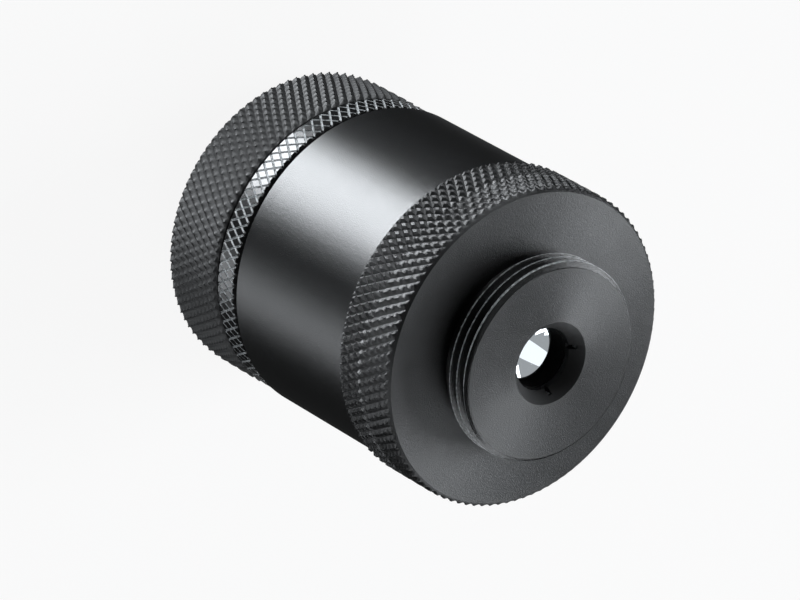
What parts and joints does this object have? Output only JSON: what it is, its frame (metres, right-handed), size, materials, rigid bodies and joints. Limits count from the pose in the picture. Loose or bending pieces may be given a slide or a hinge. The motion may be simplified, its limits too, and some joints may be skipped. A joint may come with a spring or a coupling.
{
  "type": "beam expander",
  "caption": "Compact laser beam expander: black barrel with a knurled input cap and threaded stub, a knurled lock ring and a knurled screw-focus output ring.",
  "frame": {"origin": "centre of the output face, which the part stands on", "axes": "+Z along the optical axis from the output face to the threaded input stub"},
  "size_m": [0.0382, 0.0382, 0.0478],
  "materials": {
    "black_anodised": "satin black anodised",
    "matt_black": "matt black anodised",
    "blued_steel": "blackened",
    "steel": "ground",
    "slide_plastic": "matt",
    "seal_rubber": "matt",
    "optical_glass": "polished, anti-reflection coated"
  },
  "bodies": {
    "housing": {"barrel": "black_anodised", "input_cap": "black_anodised", "cap_seal": "seal_rubber", "input_retainer": "black_anodised", "input_spacer": "matt_black", "input_lens": "optical_glass", "input_lens_seal": "seal_rubber", "glare_stop": "matt_black", "guide_pins": "steel"},
    "lens_carriage": {"lens_cell": "black_anodised", "front_thrust_washer": "slide_plastic", "rear_thrust_washer": "slide_plastic", "objective_retainer": "black_anodised", "crown_lens": "optical_glass", "lens_spacer": "matt_black", "flint_lens": "optical_glass", "cell_seal": "seal_rubber"},
    "focus_ring": {"focus_ring": "black_anodised", "capture_ring": "black_anodised"},
    "lock_washer": {"lock_washer": "blued_steel"},
    "lock_ring": {"lock_ring": "black_anodised"}
  },
  "joints": [
    {"name": "focus_slide", "type": "slide", "parent": "housing", "child": "lens_carriage", "axis": [0, 0, -1], "range_m": [0, 0.002]},
    {"name": "focus_turn", "type": "hinge", "parent": "lens_carriage", "child": "focus_ring", "pos_m": [0, 0, 0.0045], "axis": [0, 0, -1], "range_deg": [0, 720]},
    {"name": "lock_slide", "type": "slide", "parent": "housing", "child": "lock_washer", "axis": [0, 0, 1], "range_m": [0, 0.00013889]},
    {"name": "lock_turn", "type": "hinge", "parent": "lock_washer", "child": "lock_ring", "pos_m": [0, 0, 0.01125], "axis": [0, 0, 1], "range_deg": [0, 50]}
  ],
  "couplings": [
    {"joint": "focus_turn", "follows": "focus_slide", "rad_per_m": 6283.2},
    {"joint": "lock_turn", "follows": "lock_slide", "rad_per_m": 6283.2}
  ]
}
